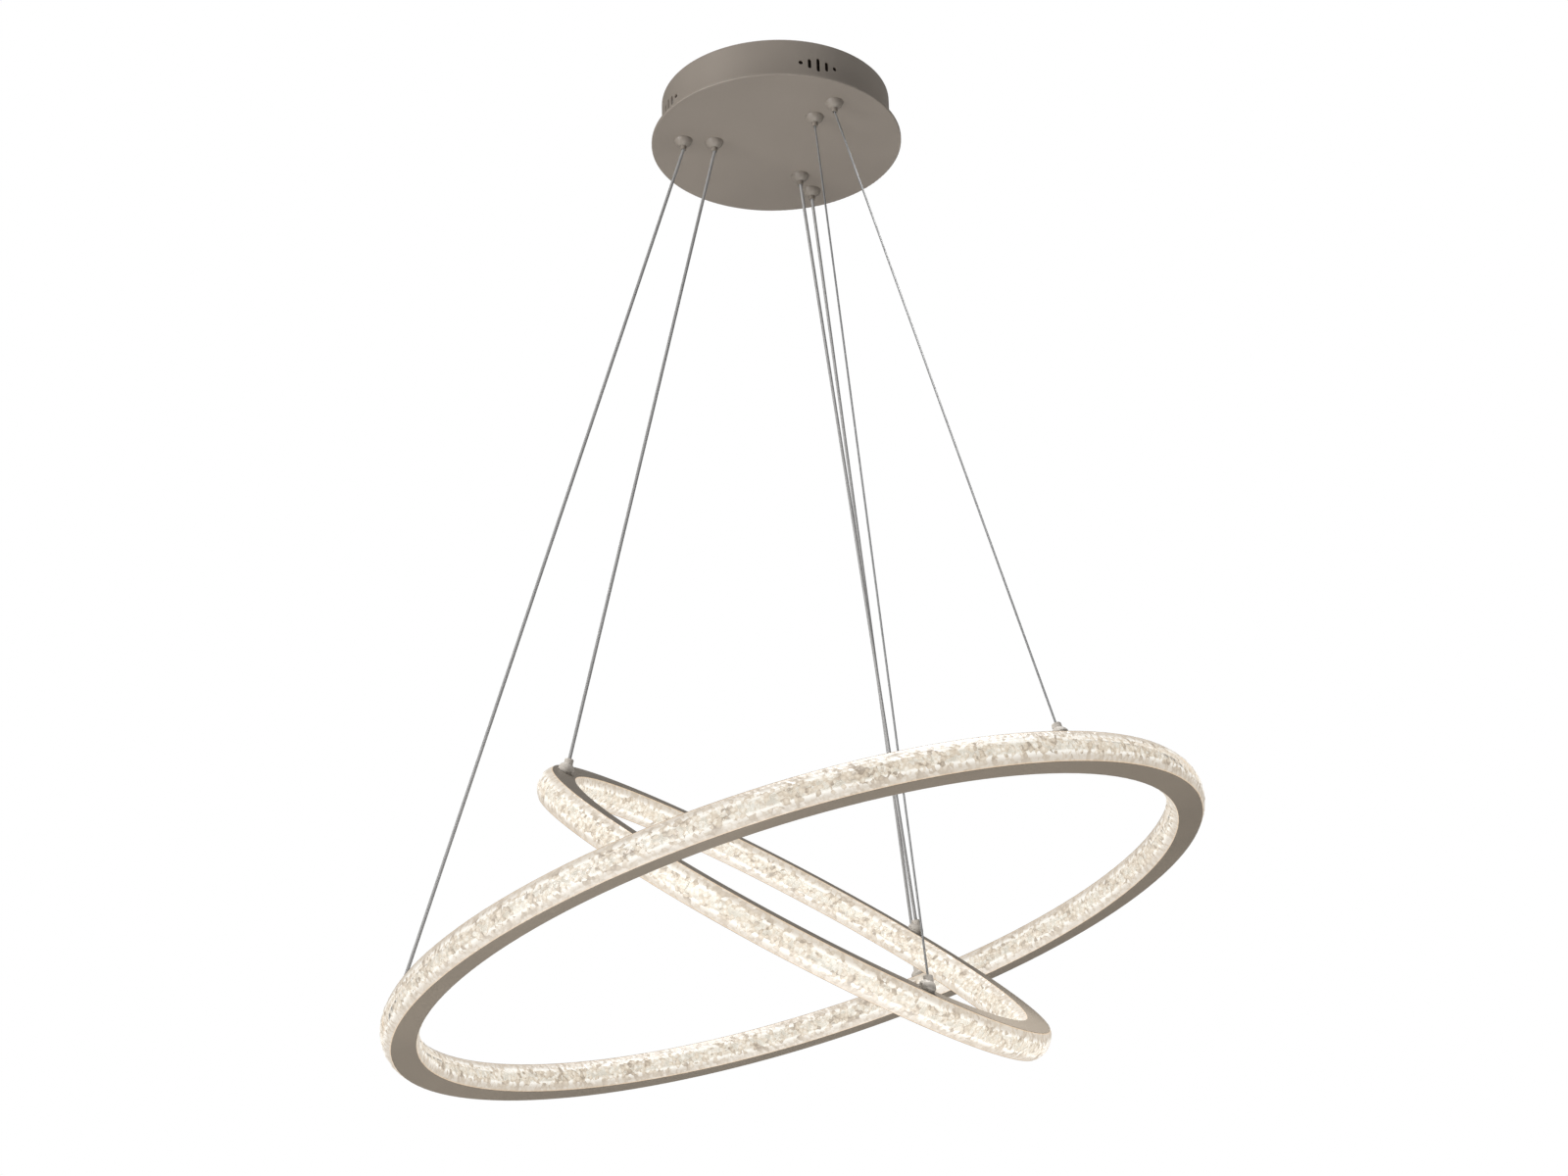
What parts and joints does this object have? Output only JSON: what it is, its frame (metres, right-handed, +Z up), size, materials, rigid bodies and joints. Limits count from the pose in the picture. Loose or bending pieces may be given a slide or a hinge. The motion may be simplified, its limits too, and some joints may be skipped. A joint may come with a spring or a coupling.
{
  "type": "led pendant light",
  "caption": "Pendant light with two tilted glowing rings, one inside the other, that hang on thin wires from a round ceiling canopy",
  "frame": {"origin": "centre of the mounting slots on the top face of the ceiling bracket, on the canopy axis, at the ceiling", "axes": "+Z up towards the ceiling, +Y away from the viewer of the picture, +X to the right in the picture"},
  "size_m": [0.5886, 0.6096, 0.8143],
  "materials": {
    "canopy_paint": "satin warm taupe powder coat",
    "frame_paint": "satin warm taupe anodised aluminium",
    "zinc": "bright zinc plated steel",
    "bare_steel": "bare drawn steel wire",
    "coated_wire": "clear sheath over a fine tinned wire",
    "gripper_paint": "taupe coated brass",
    "dark_brass": "dark nickel plated brass",
    "lug_paint": "light grey coated brass",
    "plastic_white": "moulded white plastic",
    "board": "green circuit board",
    "insulation": "insulated copper leads",
    "strip": "white strip with light chips",
    "diffuser": "rough crystal acrylic, lit from behind in warm white"
  },
  "bodies": {
    "canopy": {"ceiling_bracket": "zinc", "canopy_drum": "canopy_paint", "canopy_disc": "canopy_paint", "canopy_studs": "zinc", "side_screws": "zinc", "drum_nuts": "zinc", "driver_case": "plastic_white", "driver_lid": "plastic_white", "driver_board": "board", "driver_nuts": "zinc", "terminal_block": "plastic_white", "terminal_screws": "zinc", "earth_tag": "dark_brass", "canopy_leads": "insulation", "wire_tails": "coated_wire", "gripper_bodies": "gripper_paint", "gripper_caps": "dark_brass", "gripper_nuts": "zinc"},
    "large_ring": {"large_frame": "frame_paint", "large_splice": "zinc", "large_outer_strip": "strip", "large_inner_strip": "strip", "large_outer_diffuser": "diffuser", "large_inner_diffuser": "diffuser", "large_lugs": "lug_paint", "large_lug_nuts": "zinc", "large_leads": "insulation"},
    "small_ring": {"small_frame": "frame_paint", "small_splice": "zinc", "small_outer_strip": "strip", "small_inner_strip": "strip", "small_outer_diffuser": "diffuser", "small_inner_diffuser": "diffuser", "small_lugs": "lug_paint", "small_lug_nuts": "zinc", "small_leads": "insulation"},
    "hanging_wire_large_back": {"wire_large_back": "coated_wire"},
    "hanging_wire_large_left": {"wire_large_left": "coated_wire"},
    "hanging_wire_large_front": {"wire_large_front": "bare_steel"},
    "hanging_wire_small_back": {"wire_small_back": "coated_wire"},
    "hanging_wire_small_left": {"wire_small_left": "coated_wire"},
    "hanging_wire_small_front": {"wire_small_front": "bare_steel"},
    "button_large_back": {"plunger_large_back": "gripper_paint", "balls_large_back": "zinc", "spring_large_back": "zinc"},
    "button_large_left": {"plunger_large_left": "gripper_paint", "balls_large_left": "zinc", "spring_large_left": "zinc"},
    "button_large_front": {"plunger_large_front": "gripper_paint", "balls_large_front": "zinc", "spring_large_front": "zinc"},
    "button_small_back": {"plunger_small_back": "gripper_paint", "balls_small_back": "zinc", "spring_small_back": "zinc"},
    "button_small_left": {"plunger_small_left": "gripper_paint", "balls_small_left": "zinc", "spring_small_left": "zinc"},
    "button_small_front": {"plunger_small_front": "gripper_paint", "balls_small_front": "zinc", "spring_small_front": "zinc"}
  },
  "joints": [
    {"name": "large_turn", "type": "hinge", "parent": "canopy", "child": "large_ring", "pos_m": [0, 0, -0.697], "axis": [0, 0, 1], "range_deg": [-10, 10], "stiffness_Nm_per_rad": 0.24},
    {"name": "small_turn", "type": "hinge", "parent": "canopy", "child": "small_ring", "pos_m": [0, 0, -0.6825], "axis": [0, 0, 1], "range_deg": [-10, 10], "stiffness_Nm_per_rad": 0.068},
    {"name": "wire_large_back_lean", "type": "hinge", "parent": "canopy", "child": "hanging_wire_large_back", "pos_m": [0.02809, 0.06954, -0.0464], "axis": [0.0465, 0.1151, 0.9923], "range_deg": [-10.2, 10.2]},
    {"name": "wire_large_left_lean", "type": "hinge", "parent": "canopy", "child": "hanging_wire_large_left", "pos_m": [-0.07427, -0.01044, -0.0464], "axis": [-0.1034, -0.0145, 0.9945], "range_deg": [-10.2, 10.2]},
    {"name": "wire_large_front_lean", "type": "hinge", "parent": "canopy", "child": "hanging_wire_large_front", "pos_m": [0.04618, -0.0591, -0.0464], "axis": [0.077, -0.0986, 0.9921], "range_deg": [-10.2, 10.2]},
    {"name": "wire_small_back_lean", "type": "hinge", "parent": "canopy", "child": "hanging_wire_small_back", "pos_m": [0.01873, 0.04636, -0.0464], "axis": [0.0312, 0.0773, 0.9965], "range_deg": [-10.2, 10.2]},
    {"name": "wire_small_left_lean", "type": "hinge", "parent": "canopy", "child": "hanging_wire_small_left", "pos_m": [-0.04951, -0.00696, -0.0464], "axis": [-0.0916, -0.0129, 0.9957], "range_deg": [-10.2, 10.2]},
    {"name": "wire_small_front_lean", "type": "hinge", "parent": "canopy", "child": "hanging_wire_small_front", "pos_m": [0.03078, -0.0394, -0.0464], "axis": [0.0417, -0.0534, 0.9977], "range_deg": [-10.2, 10.2]},
    {"name": "button_large_back_push", "type": "slide", "parent": "canopy", "child": "button_large_back", "axis": [0, 0, 1], "range_m": [0, 0.002], "stiffness_N_per_m": 400, "springref_m": -0.002, "deforming": ["spring_large_back"]},
    {"name": "button_large_left_push", "type": "slide", "parent": "canopy", "child": "button_large_left", "axis": [0, 0, 1], "range_m": [0, 0.002], "stiffness_N_per_m": 400, "springref_m": -0.002, "deforming": ["spring_large_left"]},
    {"name": "button_large_front_push", "type": "slide", "parent": "canopy", "child": "button_large_front", "axis": [0, 0, 1], "range_m": [0, 0.002], "stiffness_N_per_m": 400, "springref_m": -0.002, "deforming": ["spring_large_front"]},
    {"name": "button_small_back_push", "type": "slide", "parent": "canopy", "child": "button_small_back", "axis": [0, 0, 1], "range_m": [0, 0.002], "stiffness_N_per_m": 400, "springref_m": -0.002, "deforming": ["spring_small_back"]},
    {"name": "button_small_left_push", "type": "slide", "parent": "canopy", "child": "button_small_left", "axis": [0, 0, 1], "range_m": [0, 0.002], "stiffness_N_per_m": 400, "springref_m": -0.002, "deforming": ["spring_small_left"]},
    {"name": "button_small_front_push", "type": "slide", "parent": "canopy", "child": "button_small_front", "axis": [0, 0, 1], "range_m": [0, 0.002], "stiffness_N_per_m": 400, "springref_m": -0.002, "deforming": ["spring_small_front"]}
  ],
  "couplings": [
    {"joint": "wire_large_back_lean", "follows": "large_turn", "ratio": 1.0078},
    {"joint": "wire_large_left_lean", "follows": "large_turn", "ratio": 1.0055},
    {"joint": "wire_large_front_lean", "follows": "large_turn", "ratio": 1.0079},
    {"joint": "wire_small_back_lean", "follows": "small_turn", "ratio": 1.0035},
    {"joint": "wire_small_left_lean", "follows": "small_turn", "ratio": 1.0043},
    {"joint": "wire_small_front_lean", "follows": "small_turn", "ratio": 1.0023}
  ]
}
